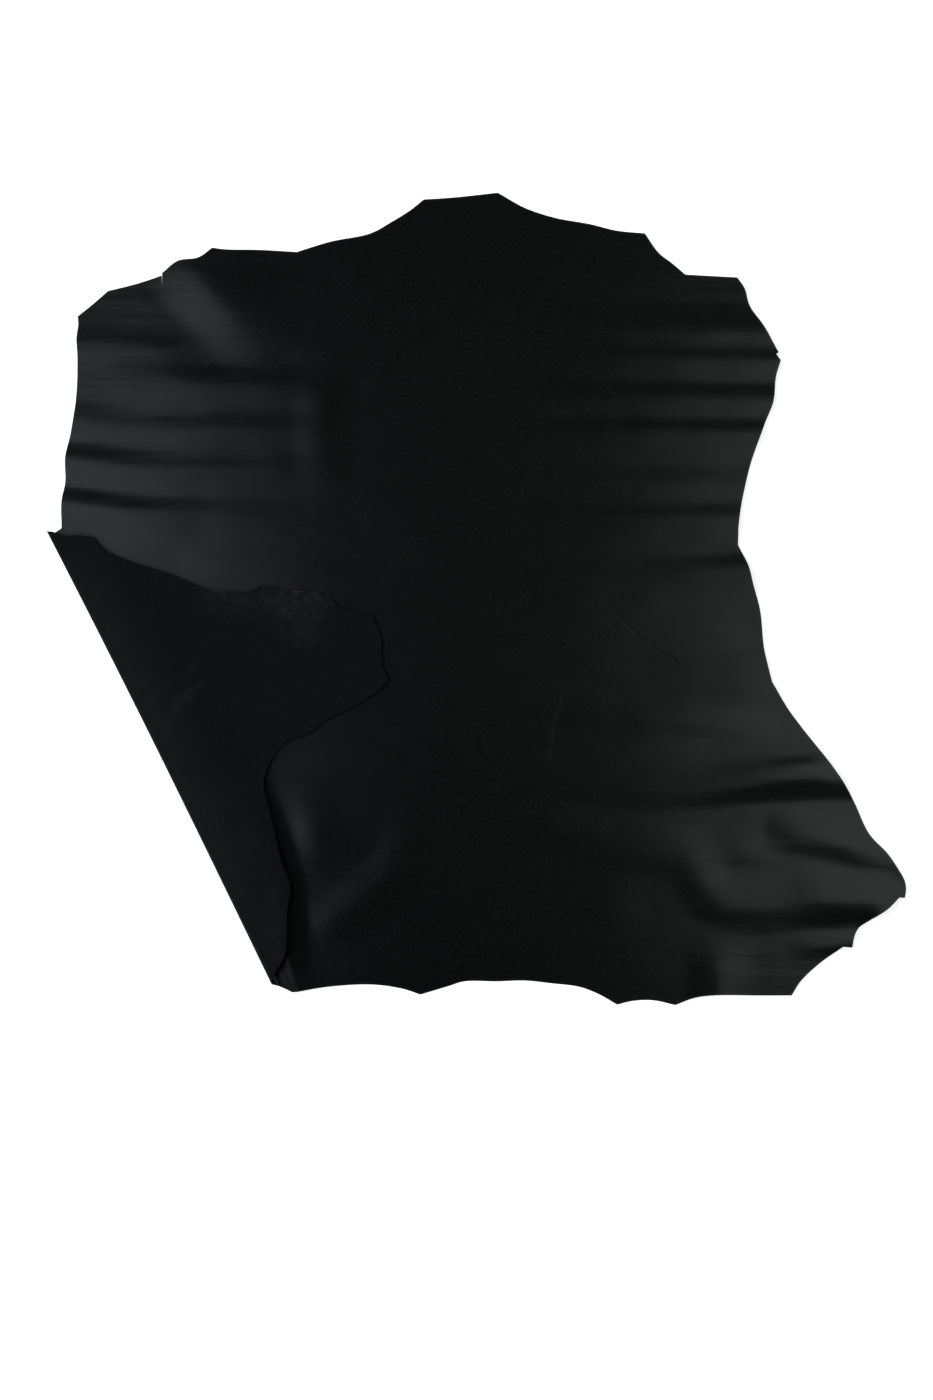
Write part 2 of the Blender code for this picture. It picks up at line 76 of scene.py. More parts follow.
# The cut edge, clockwise on the flat hide. Each stretch is a smooth curve that starts at its own
# first point and ends at the next stretch's first point, so the edge has a corner between two.
Stretch = namedtuple("Stretch", "name points")
OUTLINE = [
    Stretch("neck", [(-0.131, 0.997), (-0.058, 1.002)]),
    Stretch("right shoulder", [
        (0.054, 1.014), (0.122, 0.976), (0.198, 0.951), (0.285, 0.935), (0.350, 0.919)]),
    Stretch("right armpit", [(0.421, 0.912), (0.456, 0.863), (0.488, 0.838)]),
    Stretch("right foreleg end", [(0.522, 0.809)]),
    Stretch("right foreleg side", [(0.652, 0.802), (0.671, 0.774), (0.683, 0.732), (0.719, 0.679)]),
    Stretch("right notch", [(0.755, 0.614)]),
    Stretch("right notch side", [(0.749, 0.610)]),
    Stretch("right belly", [
        (0.760, 0.594), (0.749, 0.555), (0.742, 0.492), (0.719, 0.432), (0.683, 0.327),
        (0.656, 0.194)]),
    Stretch("right flank", [
        (0.654, 0.134), (0.679, 0.082), (0.691, 0.037), (0.709, -0.027), (0.720, -0.129)]),
    Stretch("right thigh", [
        (0.739, -0.209), (0.780, -0.277), (0.878, -0.405), (0.922, -0.468), (0.946, -0.512),
        (0.982, -0.589), (1.026, -0.636), (1.050, -0.670), (1.070, -0.704), (1.074, -0.726)]),
    Stretch("right shank end", [(1.070, -0.748)]),
    Stretch("right shank", [
        (1.056, -0.747), (1.026, -0.775), (0.982, -0.804), (0.956, -0.822), (0.944, -0.845)]),
    Stretch("right shank tail", [(0.939, -0.872)]),
    Stretch("right hock", [(0.916, -0.870), (0.860, -0.910), (0.811, -0.956)]),
    Stretch("right rump", [(0.788, -0.992), (0.707, -0.992), (0.598, -0.990), (0.548, -0.997)]),
    Stretch("tail side", [(0.497, -1.016), (0.440, -1.004), (0.388, -1.006)]),
    Stretch("rump", [
        (0.352, -1.015), (0.308, -0.990), (0.259, -0.971), (0.189, -0.962), (0.120, -0.955),
        (0.051, -0.957), (-0.030, -0.957), (-0.070, -0.969)]),
    Stretch("left rump", [(-0.140, -0.990), (-0.182, -0.976), (-0.258, -0.965), (-0.357, -0.969)]),
    Stretch("left hock", [
        (-0.458, -0.984), (-0.496, -0.968), (-0.548, -0.958), (-0.609, -0.948), (-0.646, -0.924),
        (-0.688, -0.893)]),
    Stretch("left shank", [
        (-0.735, -0.867), (-0.752, -0.853), (-0.779, -0.809), (-0.824, -0.753), (-0.873, -0.694),
        (-0.901, -0.658), (-0.930, -0.641), (-0.968, -0.631), (-1.005, -0.630), (-1.033, -0.637),
        (-1.066, -0.662), (-1.132, -0.682), (-1.194, -0.713), (-1.251, -0.736)]),
    Stretch("left shank end", [
        (-1.301, -0.747), (-1.318, -0.713), (-1.348, -0.687), (-1.375, -0.665), (-1.393, -0.637)]),
    Stretch("left thigh", [
        (-1.405, -0.615), (-1.384, -0.568), (-1.374, -0.536), (-1.376, -0.507), (-1.367, -0.470),
        (-1.335, -0.417), (-1.302, -0.354), (-1.263, -0.328), (-1.243, -0.299), (-1.218, -0.263),
        (-1.204, -0.219), (-1.185, -0.145), (-1.160, -0.076), (-1.139, -0.004), (-1.136, 0.020)]),
    Stretch("left flank", [(-1.144, 0.059), (-1.126, 0.089), (-1.105, 0.116)]),
    Stretch("left flank under the fold", [(-1.094, 0.147)]),
    Stretch("left flank at the fold", [(-1.080, 0.165)]),
    Stretch("left flank beside the fold", [(-1.055, 0.163)]),
    Stretch("left belly", [
        (-1.036, 0.176), (-1.034, 0.246), (-1.026, 0.294), (-1.025, 0.356), (-1.011, 0.421),
        (-0.999, 0.509), (-0.996, 0.604), (-0.998, 0.651), (-0.994, 0.686)]),
    Stretch("left foreleg corner", [(-0.996, 0.704), (-0.959, 0.734)]),
    Stretch("left foreleg end", [(-0.920, 0.768), (-0.848, 0.786)]),
    Stretch("slit, outer lip", [(-0.785, 0.806)]),
    Stretch("slit, inner lip", [(-0.784, 0.768)]),
    Stretch("left foreleg side", [(-0.7838, 0.812), (-0.744, 0.841), (-0.692, 0.849)]),
    Stretch("left armpit", [(-0.658, 0.873), (-0.624, 0.869), (-0.540, 0.869)]),
    Stretch("left shoulder", [
        (-0.448, 0.865), (-0.361, 0.892), (-0.265, 0.912), (-0.213, 0.940), (-0.165, 0.970)]),
]

# Ripples left by rolling the hide. Each follows its path of (x, y, height) on the flat hide. Seen
# by someone who walks along the path, the leather climbs a steep face from right to left, centred
# on the path, and runs out over a gentle back on the left. Face is half the steep face's width.
Ripple = namedtuple("Ripple", "face back path")
RIPPLES = [
    # left foreleg
    Ripple(0.065, 0.220, [
        (-0.800, 0.880, 0.009), (-0.764, 0.806, 0.012), (-0.708, 0.738, 0.0125),
        (-0.645, 0.676, 0.0095), (-0.590, 0.620, 0.0042), (-0.540, 0.560, 0.0)]),
    Ripple(0.030, 0.050, [
        (-0.700, 0.850, 0.0), (-0.620, 0.843, 0.003), (-0.540, 0.846, 0.0036),
        (-0.440, 0.850, 0.0026), (-0.330, 0.872, 0.0)]),
    # left belly
    Ripple(0.030, 0.080, [
        (-0.680, 0.622, 0.0), (-0.800, 0.648, 0.0025), (-0.900, 0.660, 0.0025),
        (-1.000, 0.668, 0.0025)]),
    Ripple(0.030, 0.090, [
        (-0.340, 0.550, 0.0), (-0.460, 0.556, 0.003), (-0.600, 0.560, 0.004), (-0.720, 0.566, 0.004),
        (-0.830, 0.574, 0.0025), (-0.950, 0.585, 0.0)]),
    Ripple(0.030, 0.080, [
        (-0.340, 0.450, 0.0), (-0.480, 0.452, 0.0035), (-0.640, 0.452, 0.0045),
        (-0.730, 0.446, 0.0035), (-0.850, 0.452, 0.002), (-1.050, 0.475, 0.004)]),
    Ripple(0.030, 0.080, [
        (-0.300, 0.356, 0.0), (-0.500, 0.352, 0.003), (-0.700, 0.352, 0.0045),
        (-0.850, 0.355, 0.0055), (-0.950, 0.366, 0.007), (-1.060, 0.378, 0.007)]),
    Ripple(0.030, 0.080, [
        (-0.300, 0.225, 0.0), (-0.560, 0.232, 0.003), (-0.720, 0.238, 0.005), (-0.830, 0.240, 0.007),
        (-0.950, 0.255, 0.0085), (-1.070, 0.270, 0.0085)]),
    Ripple(0.030, 0.080, [
        (-0.320, 0.115, 0.0), (-0.480, 0.115, 0.002), (-0.600, 0.118, 0.002), (-0.740, 0.125, 0.0)]),
    Ripple(0.042, 0.090, [
        (-0.318, 0.160, 0.0), (-0.330, 0.265, 0.0007), (-0.338, 0.340, 0.0022),
        (-0.340, 0.400, 0.0034), (-0.340, 0.470, 0.0034), (-0.334, 0.550, 0.0016),
        (-0.320, 0.660, 0.0)]),
    # right foreleg and belly
    Ripple(0.040, 0.050, [
        (0.730, 0.700, 0.0045), (0.600, 0.702, 0.0045), (0.420, 0.706, 0.003), (0.150, 0.706, 0.0)]),
    Ripple(0.028, 0.065, [
        (0.745, 0.622, 0.0045), (0.600, 0.624, 0.0045), (0.420, 0.628, 0.0035), (0.150, 0.630, 0.0)]),
    Ripple(0.030, 0.055, [
        (0.760, 0.522, 0.004), (0.600, 0.524, 0.0045), (0.400, 0.526, 0.004), (0.180, 0.530, 0.003),
        (0.040, 0.530, 0.0)]),
    Ripple(0.030, 0.080, [
        (0.760, 0.440, 0.005), (0.550, 0.440, 0.0055), (0.350, 0.440, 0.005), (0.180, 0.438, 0.003),
        (0.020, 0.440, 0.0)]),
    Ripple(0.034, 0.060, [
        (0.720, 0.310, 0.002), (0.600, 0.311, 0.003), (0.460, 0.312, 0.004), (0.300, 0.318, 0.0025),
        (0.100, 0.320, 0.0)]),
    Ripple(0.030, 0.085, [
        (0.690, 0.226, 0.0065), (0.500, 0.226, 0.007), (0.350, 0.225, 0.0055), (0.200, 0.228, 0.0025),
        (0.020, 0.230, 0.0)]),
    Ripple(0.030, 0.090, [
        (0.690, 0.100, 0.0085), (0.560, 0.092, 0.0065), (0.460, 0.086, 0.004), (0.300, 0.078, 0.0015),
        (0.050, 0.070, 0.0)]),
    # right thigh and shank
    Ripple(0.025, 0.065, [(0.740, -0.140, 0.0035), (0.600, -0.142, 0.0025), (0.420, -0.145, 0.0)]),
    Ripple(0.025, 0.065, [(0.780, -0.205, 0.004), (0.640, -0.207, 0.003), (0.440, -0.210, 0.0)]),
    Ripple(0.025, 0.080, [
        (0.200, -0.325, 0.0), (0.450, -0.330, 0.0035), (0.600, -0.334, 0.0035), (0.760, -0.335, 0.0)]),
    Ripple(0.020, 0.050, [
        (0.900, -0.398, 0.0), (0.830, -0.403, 0.004), (0.740, -0.413, 0.004), (0.640, -0.422, 0.002),
        (0.500, -0.430, 0.0)]),
    Ripple(0.032, 0.110, [
        (0.080, -0.495, 0.0), (0.350, -0.504, 0.003), (0.515, -0.506, 0.006), (0.610, -0.501, 0.008),
        (0.680, -0.494, 0.009), (0.770, -0.487, 0.0095), (0.900, -0.480, 0.010),
        (0.980, -0.484, 0.010)]),
    Ripple(0.032, 0.070, [
        (0.720, -0.612, 0.0), (0.790, -0.618, 0.0048), (0.860, -0.630, 0.006),
        (0.930, -0.652, 0.0057), (0.985, -0.676, 0.005), (1.040, -0.688, 0.004),
        (1.095, -0.690, 0.003)]),
    Ripple(0.025, 0.065, [(0.500, -0.655, 0.0), (0.650, -0.655, 0.0025), (0.760, -0.650, 0.0)]),
    Ripple(0.042, 0.090, [
        (0.060, -0.575, 0.0), (0.190, -0.618, 0.0022), (0.320, -0.655, 0.0024),
        (0.435, -0.670, 0.0032), (0.508, -0.694, 0.0042), (0.540, -0.749, 0.0048),
        (0.590, -0.789, 0.0055), (0.660, -0.806, 0.0055), (0.785, -0.801, 0.006),
        (0.860, -0.796, 0.0095), (0.980, -0.799, 0.011)]),
    Ripple(0.022, 0.050, [(0.780, -0.893, 0.0), (0.860, -0.889, 0.0032), (0.940, -0.880, 0.0036)]),
    Ripple(0.045, 0.110, [
        (0.525, -0.760, 0.0), (0.548, -0.880, 0.002), (0.560, -0.940, 0.006), (0.560, -1.040, 0.010)]),
    # rump, beside the folded leg
    Ripple(0.033, 0.090, [
        (-0.470, -0.440, 0.0), (-0.455, -0.520, 0.0017), (-0.441, -0.580, 0.0032),
        (-0.430, -0.620, 0.0025), (-0.405, -0.680, 0.0)]),
    Ripple(0.042, 0.090, [
        (-0.205, -0.490, 0.0), (-0.214, -0.595, 0.0021), (-0.258, -0.676, 0.0036),
        (-0.322, -0.726, 0.0044), (-0.378, -0.758, 0.0035), (-0.430, -0.780, 0.0)]),
    Ripple(0.030, 0.045, [
        (-0.430, -1.020, 0.010), (-0.440, -0.930, 0.0055), (-0.448, -0.860, 0.005),
        (-0.446, -0.790, 0.005), (-0.452, -0.716, 0.005), (-0.482, -0.604, 0.005),
        (-0.522, -0.500, 0.004), (-0.530, -0.430, 0.0)]),
]

# Finer unevenness of the leather between the ripples: wavelength and height of each layer
Unevenness = namedtuple("Unevenness", "wavelength height seed")
UNEVENNESS = [
    Unevenness(0.210, 0.0016, 11),
    Unevenness(0.085, 0.0008, 12),
]
NOISE_CELLS = 255           # the unevenness repeats after this many cells
NOISE_SHIFT = 100.0         # moves the cells of the whole hide above zero
BACKBONE_HALF_WIDTH = 0.09  # the leather along the backbone is firm, and so lies flatter
BELLY_FADE = 0.30           # from there to the bellies the unevenness grows over this distance
BACKBONE_SHARE = 0.25       # share of the unevenness along the backbone

# Natural lines and patches, from and to a place on the flat hide: what each adds to the tone, which
# scales the colour there, and how far it is raised or sunk
Mark = namedtuple("Mark", "start end width tone height", defaults=(0.0,))
GRAIN_MARKS = [
    Mark((0.325, -0.015), (0.440, -0.120), 0.009, -0.35, -0.00012),
    Mark((0.425, -0.108), (0.515, -0.170), 0.010, -0.35, -0.00016),
    Mark((0.215, -0.225), (0.188, -0.325), 0.008, 0.50, 0.00012),
    Mark((0.190, -0.310), (0.184, -0.410), 0.008, 0.50, 0.00012),
    Mark((0.610, -0.880), (0.745, -0.895), 0.004, 0.25, 0.00016),
    Mark((0.720, -0.925), (0.805, -0.942), 0.004, 0.25, 0.00016),
    Mark((-0.330, 0.480), (-0.250, 0.520), 0.003, -0.20, -0.00010),
    Mark((0.050, 0.620), (0.020, 0.540), 0.003, 0.20, 0.00008),
]
FLESH_MARKS = [
    Mark(FOLD_TOP, FOLD_FOOT, 0.170, 0.85),       # painted sheen: paler along the fold
    Mark((-1.033, -0.381), (-0.976, -0.368), 0.011, 0.45),
    Mark((-0.998, -0.374), (-0.912, -0.356), 0.018, 0.75),
    Mark((-0.935, -0.358), (-0.872, -0.388), 0.013, 0.45),
    Mark((-1.065, -0.328), (-0.960, -0.338), 0.014, 0.35),
]
LOOSE_PATCHES = [           # where loose fibres stand up beside the folded leg's thigh edge
    Mark((-1.165, -0.225), (-1.390, -0.540), 0.055, 0.8),
    Mark((-1.365, -0.390), (-1.235, -0.530), 0.085, 0.7),
]

PATH_STEP = 0.025           # spacing of the points that smooth a ripple's path
EDGE_FADE = 0.060           # the edge-distance attribute stops growing this far from the edge
SHARP_ANGLE = math.radians(50)
MERGE_DISTANCE = 1e-7       # points of the flat mesh that are closer than this become one
INSIDE_ONLY = 1             # has the triangulation keep only what the edge encloses
FLESH_SLOT, EDGE_SLOT = 1, 2      # places of these materials on the sheet, after the grain's


class HideSizes(bpy.types.PropertyGroup):
    """Sizes of the leather sheet and of its fold"""

    thickness: FloatProperty(
        name="Thickness", description="Thickness of the leather", default=0.0016, unit="LENGTH")
    layer_gap: FloatProperty(
        name="Layer gap", description="Air between the folded leg and the hide", default=0.0015,
        unit="LENGTH")
    roll_top: FloatProperty(
        name="Roll at the belly", description="Height of the fold at its belly end", default=0.015,
        unit="LENGTH")
    roll_foot: FloatProperty(
        name="Roll at the rump", description="Height of the fold at its rump end", default=0.038,
        unit="LENGTH")
    settle_top: FloatProperty(
        name="Settling at the belly",
        description="How far from the fold the leg comes down, at the belly end",
        default=0.20, unit="LENGTH")
    settle_foot: FloatProperty(
        name="Settling at the rump",
        description="How far from the fold the leg comes down, at the rump end",
        default=0.40, unit="LENGTH")
    heel_lift: FloatProperty(
        name="Heel lift", description="How far the lower layer rises to the fold at the rump",
        default=0.003, unit="LENGTH")
    ripple_strength: FloatProperty(
        name="Ripple strength", description="Height of the ripples, as a share of the listed heights",
        default=1.0)
    edge_step: FloatProperty(
        name="Edge step", description="Spacing of the mesh along the cut edge", default=0.009,
        unit="LENGTH")
    across_step: FloatProperty(
        name="Step across", description="Spacing of the mesh across the hide", default=0.012,
        unit="LENGTH")
    along_step: FloatProperty(
        name="Step along", description="Spacing of the mesh along the backbone", default=0.0072,
        unit="LENGTH")
    bend_rows: IntProperty(
        name="Bend rows", description="Rows of faces around the bend", default=24)


class HideFinish(bpy.types.PropertyGroup):
    """Colours and gloss of the leather"""

    grain_colour: FloatVectorProperty(
        name="Grain colour", description="Pigment on the grain side", subtype="COLOR", size=4,
        default=(0.0021, 0.0024, 0.0024, 1.0))
    grain_gloss: FloatProperty(
        name="Grain roughness", description="Roughness of the finished grain", default=0.270,
        subtype="FACTOR")
    flesh_colour: FloatVectorProperty(
        name="Flesh colour", description="Dyed suede on the flesh side", subtype="COLOR", size=4,
        default=(0.0031, 0.0035, 0.0041, 1.0))
    fibre_colour: FloatVectorProperty(
        name="Fibre colour", description="Paler loose fibres of the flesh side", subtype="COLOR", size=4,
        default=(0.022, 0.034, 0.036, 1.0))
    edge_colour: FloatVectorProperty(
        name="Edge colour", description="Raw cut edge of the leather", subtype="COLOR", size=4,
        default=(0.012, 0.013, 0.014, 1.0))
    pebble: FloatProperty(
        name="Pebble size", description="Size of the grain's pebbles", default=0.0014, unit="LENGTH")


class StudioSettings(bpy.types.PropertyGroup):
    """Floor, lights and camera"""

    floor_colour: FloatVectorProperty(
        name="Floor colour", description="Pale studio floor", subtype="COLOR", size=4,
        default=(0.50, 0.50, 0.50, 1.0))
    floor_glow: FloatProperty(
        name="Floor glow", description="Light that the floor gives off, which hides faint shadows",
        default=0.75)
    camera_height: FloatProperty(
        name="Camera height", description="Height of the camera above the floor", default=3.75,
        unit="LENGTH")
    view_length: FloatProperty(
        name="View length", description="Length of floor that fills the frame from bottom to top",
        default=3.50, unit="LENGTH")
    key_strength: FloatProperty(
        name="Key strength", description="Strength of the key light, in watts a square metre",
        default=5.6)
    overhead_power: FloatProperty(
        name="Overhead power", description="Power of the overhead light", default=70.0, unit="POWER")
    left_power: FloatProperty(
        name="Left power", description="Power of the left panel", default=27.2, unit="POWER")
    right_power: FloatProperty(
        name="Right power", description="Power of the right panel", default=27.6, unit="POWER")


# ---- the sheet's shape

def smoothstep(t):
    t = np.clip(t, 0.0, 1.0)
    return t * t * (3 - 2 * t)


def curve_point(p0, p1, p2, p3, t):
    """Point at t of the centripetal Catmull-Rom span from p1 to p2."""
    k0 = 0.0
    k1 = k0 + math.sqrt(math.dist(p0, p1))
    k2 = k1 + math.sqrt(math.dist(p1, p2))
    k3 = k2 + math.sqrt(math.dist(p2, p3))
    k = k1 + (k2 - k1) * t
    a1 = p0 * (k1 - k) / (k1 - k0) + p1 * (k - k0) / (k1 - k0)
    a2 = p1 * (k2 - k) / (k2 - k1) + p2 * (k - k1) / (k2 - k1)
    a3 = p2 * (k3 - k) / (k3 - k2) + p3 * (k - k2) / (k3 - k2)
    b1 = a1 * (k2 - k) / (k2 - k0) + a2 * (k - k0) / (k2 - k0)
    b2 = a2 * (k3 - k) / (k3 - k1) + a3 * (k - k1) / (k3 - k1)
    return b1 * (k2 - k) / (k2 - k1) + b2 * (k - k1) / (k2 - k1)


def smooth_run(points, step):
    """Points about one step apart along a smooth curve, without its last point."""
    points = [np.array(point) for point in points]
    padded = [2 * points[0] - points[1], *points, 2 * points[-1] - points[-2]]
    run = []
    for span in zip(padded, padded[1:], padded[2:], padded[3:]):
        pieces = max(1, round(math.dist(span[1], span[2]) / step))
        run += [curve_point(*span, piece / pieces) for piece in range(pieces)]
    return run


def cut_edge(step):
    """The flat hide's edge as one closed run of points."""
    edge = []
    for stretch, following in zip(OUTLINE, OUTLINE[1:] + OUTLINE[:1]):
        edge += smooth_run([*stretch.points, following.points[0]], step)
    return np.array(edge)


def along_fold(flat):
    return (flat - FOLD_TOP) @ FOLD_RUN


def off_fold(flat):
    return (flat - FOLD_TOP) @ FOLD_SIDE


def edge_with_bend_rows(edge, row_offsets):
    """The edge with its points inside the bend replaced by its crossings with the bend's rows."""
    offsets = off_fold(edge)
    in_bend = (offsets < row_offsets[0]) & (offsets > row_offsets[-1])
    points = []
    rows = {row: [] for row in range(len(row_offsets))}
    for index in range(len(edge)):
        if not in_bend[index]:
            points.append(edge[index])
        start, end = edge[index], edge[(index + 1) % len(edge)]
        near, far = offsets[index], offsets[(index + 1) % len(edge)]
        crossed = [row for row, offset in enumerate(row_offsets) if (near - offset) * (far - offset) < 0]
        for row in sorted(crossed, key=lambda row: abs(row_offsets[row] - near)):
            rows[row].append(len(points))
            points.append(start + (end - start) * (row_offsets[row] - near) / (far - near))
    return np.array(points), rows


def inside(points, edge):
    """Whether each point is inside the closed edge, by counting the edge's crossings above it."""
    result = np.zeros(len(points), dtype=bool)
    for start, end in zip(edge, np.roll(edge, -1, axis=0)):
        spans = (start[0] > points[:, 0]) != (end[0] > points[:, 0])
        if spans.any():
            height = start[1] + (points[:, 0] - start[0]) * (end[1] - start[1]) / (end[0] - start[0])
            result ^= spans & (points[:, 1] < height)
    return result


def distance_to_edge(points, edge):
    nearest = np.full(len(points), np.inf)
    for start, end in zip(edge, np.roll(edge, -1, axis=0)):
        run = end - start
        t = np.clip((points - start) @ run / (run @ run), 0, 1)
        nearest = np.minimum(nearest, np.linalg.norm(points - start - t[:, None] * run, axis=1))
    return nearest


def lattice_points(edge, row_offsets, sizes):
    """Staggered points over the flat hide, clear of its edge and of the bend."""
    margin = sizes.edge_step / 2
    low, high = edge.min(axis=0), edge.max(axis=0)
    points = []
    for row, y in enumerate(np.arange(low[1], high[1], sizes.along_step)):
        shift = sizes.across_step / 2 * (row % 2)
        points += [(x, y) for x in np.arange(low[0] + shift, high[0], sizes.across_step)]
    points = np.array(points)
    offsets = off_fold(points)
    clear_of_bend = (offsets > row_offsets[0] + margin) | (offsets < row_offsets[-1] - margin)
    points = points[clear_of_bend]
    points = points[inside(points, edge)]
    return points[distance_to_edge(points, edge) > margin]


def flat_mesh(sizes):
    """Points and triangles of the flat hide, its bend divided into rows along the fold."""
    row_offsets = BEND_REACH - BEND_LENGTH * np.linspace(0, 1, sizes.bend_rows + 1)
    edge, row_ends = edge_with_bend_rows(cut_edge(sizes.edge_step), row_offsets)
    points = [*edge, *lattice_points(edge, row_offsets, sizes)]
    links = []
    columns = round(FOLD_LENGTH / sizes.across_step)
    for row in range(sizes.bend_rows + 1):
        first, last = sorted(row_ends[row], key=lambda index: along_fold(edge[index]))
        chain = [first, *range(len(points), len(points) + columns - 1), last]
        run = edge[last] - edge[first]
        points += [edge[first] + run * step / columns for step in range(1, columns)]
        links += zip(chain, chain[1:])
    stretch = sizes.across_step / sizes.along_step
    stretched = [Vector((x, y * stretch)) for x, y in points]
    outline = list(range(len(edge)))[::-1]
    made = delaunay_2d_cdt(stretched, links, [outline], INSIDE_ONLY, MERGE_DISTANCE)
    flat = np.array([(point.x, point.y / stretch) for point in made[0]])
    return flat, made[2], edge


def ripple_height(points, ripple):
    """Height that one ripple adds at each flat point."""
    path = np.array([*smooth_run(ripple.path, PATH_STEP), ripple.path[-1]])
    reach = ripple.face + ripple.back
    low, high = path.min(axis=0)[:2] - reach, path.max(axis=0)[:2] + reach
    near = np.flatnonzero(((points > low) & (points < high)).all(axis=1))
    nearest = np.full(len(near), np.inf)
    across = np.zeros(len(near))
    crest = np.zeros(len(near))
    for start, end in zip(path, path[1:]):
        run = (end - start)[:2]
        away = points[near] - start[:2]
        t = np.clip(away @ run / (run @ run), 0, 1)
        side = np.sign(run[0] * away[:, 1] - run[1] * away[:, 0])
        distance = np.linalg.norm(away - t[:, None] * run, axis=1)
        closer = distance < nearest
        nearest[closer] = distance[closer]
        across[closer] = (side * distance)[closer]
        crest[closer] = (start[2] + (end[2] - start[2]) * t)[closer]
    face = smoothstep((across + ripple.face) / (2 * ripple.face))
    back = smoothstep(1 - (across - ripple.face) / ripple.back)
    height = np.zeros(len(points))
    height[near] = crest * face * back
    return height


def soft_noise(points, layer):
    """Smooth seeded noise from 0 to 1 over the flat hide."""
    cells = points / layer.wavelength + NOISE_SHIFT
    corner = np.floor(cells).astype(int)
    t = smoothstep(cells - corner)
    values = np.random.default_rng(layer.seed).random((NOISE_CELLS + 1, NOISE_CELLS + 1))
    x, y = corner[:, 0] % NOISE_CELLS, corner[:, 1] % NOISE_CELLS
    lower = values[x, y] * (1 - t[:, 0]) + values[x + 1, y] * t[:, 0]
    upper = values[x, y + 1] * (1 - t[:, 0]) + values[x + 1, y + 1] * t[:, 0]
    return lower * (1 - t[:, 1]) + upper * t[:, 1]


def relief(points, sizes):
    """Height of the ripples and the finer unevenness at each flat point."""
    ripples = sum(ripple_height(points, ripple) for ripple in RIPPLES)
    uneven = sum(layer.height * soft_noise(points, layer) for layer in UNEVENNESS)
    belly = smoothstep((np.abs(points[:, 0]) - BACKBONE_HALF_WIDTH) / BELLY_FADE)
    share = BACKBONE_SHARE + (1 - BACKBONE_SHARE) * belly
    return ripples * sizes.ripple_strength + uneven * share


def fold(flat, sizes):
    """Places of the flesh side once the flat hide lies folded: the hide's underside, the outside
    of the bend and the top of the folded leg."""
    along = along_fold(flat)
    off = off_fold(flat)
    to_foot = smoothstep(along / FOLD_LENGTH)
    turn = np.clip((BEND_REACH - off) / BEND_LENGTH, 0, 1) * np.pi
    past_bend = np.maximum(BEND_REACH - BEND_LENGTH - off, 0)
    bulge = BEND_REACH - BEND_BOW * np.sin(np.clip(along / FOLD_LENGTH, 0, 1) * np.pi)
    reach = np.where(off > BEND_REACH, off, BEND_REACH - bulge * np.sin(turn) + past_bend)
    plan = FOLD_TOP + np.outer(along, FOLD_RUN) + np.outer(reach, FOLD_SIDE)

    settled = 2 * sizes.thickness + sizes.layer_gap
    roll = sizes.roll_top + (sizes.roll_foot - sizes.roll_top) * to_foot
    settle = sizes.settle_top + (sizes.settle_foot - sizes.settle_top) * to_foot
    leg = settled + (roll - settled) * smoothstep(1 - past_bend / settle)
    bend = roll * (1 - np.cos(turn)) / 2
    heel = sizes.heel_lift * to_foot * np.clip(1 - reach / HEEL_REACH, 0, 1) ** 2
    clear_of_fold = smoothstep((reach - BEND_REACH) / RIPPLE_START)
    ground = relief(plan, sizes) * clear_of_fold
    own_unevenness = relief(flat, sizes) * clear_of_fold
    height = ground + heel + np.where(past_bend > 0, leg + own_unevenness, bend)
    return np.column_stack((plan, height))


def over_the_solid(places):
    """The places moved so that their box stands centred on the built hide's."""
    low, high = places.min(axis=0), places.max(axis=0)
    middle = (np.array(HIDE_LOW) + np.array(HIDE_HIGH)) / 2
    return places + np.array((*(middle - (low + high) / 2)[:2], HIDE_LOW.z - low[2]))


def leather_sheet(sizes):
    """The hide as one mesh object, with its flat place and edge distance kept as attributes."""
    flat, triangles, edge = flat_mesh(sizes)
    mesh = bpy.data.meshes.new("folded_hide")
    mesh.from_pydata(over_the_solid(fold(flat, sizes)).tolist(), [], triangles)
    cut_place = mesh.attributes.new("cut_place", "FLOAT_VECTOR", "POINT")
    cut_place.data.foreach_set("vector", np.column_stack((flat, np.zeros(len(flat)))).ravel())
    from_edge = mesh.attributes.new("from_edge", "FLOAT", "POINT")
    from_edge.data.foreach_set("value", np.minimum(distance_to_edge(flat, edge), EDGE_FADE))
    hide = bpy.data.objects.new("folded_hide", mesh)
    bpy.context.scene.collection.objects.link(hide)
    leather = hide.modifiers.new("leather thickness", "SOLIDIFY")
    leather.thickness = sizes.thickness
    leather.offset = 1.0
    leather.use_even_offset = True
    leather.material_offset = FLESH_SLOT
    leather.material_offset_rim = EDGE_SLOT
    return hide, flat_area(flat, triangles)


def flat_area(flat, triangles):
    corners = flat[np.array([list(triangle) for triangle in triangles])]
    first, second = corners[:, 1] - corners[:, 0], corners[:, 2] - corners[:, 0]
    return float(np.abs(first[:, 0] * second[:, 1] - first[:, 1] * second[:, 0]).sum() / 2)


def apply_modifiers(thing):
    graph = bpy.context.evaluated_depsgraph_get()
    mesh = bpy.data.meshes.new_from_object(thing.evaluated_get(graph), depsgraph=graph)
    thing.modifiers.clear()
    thing.data = mesh
    mesh.shade_smooth()
    mesh.set_sharp_from_angle(angle=SHARP_ANGLE)


# ---- node helpers

def feed(tree, socket, value):
    if isinstance(value, bpy.types.NodeSocket):
        tree.links.new(value, socket)
    else:
        socket.default_value = value


def set_inputs(tree, node, **inputs):
    """Gives each named input of a node its value, or a link from its socket."""
    for name, value in inputs.items():
        feed(tree, node.inputs[name.replace("_", " ")], value)


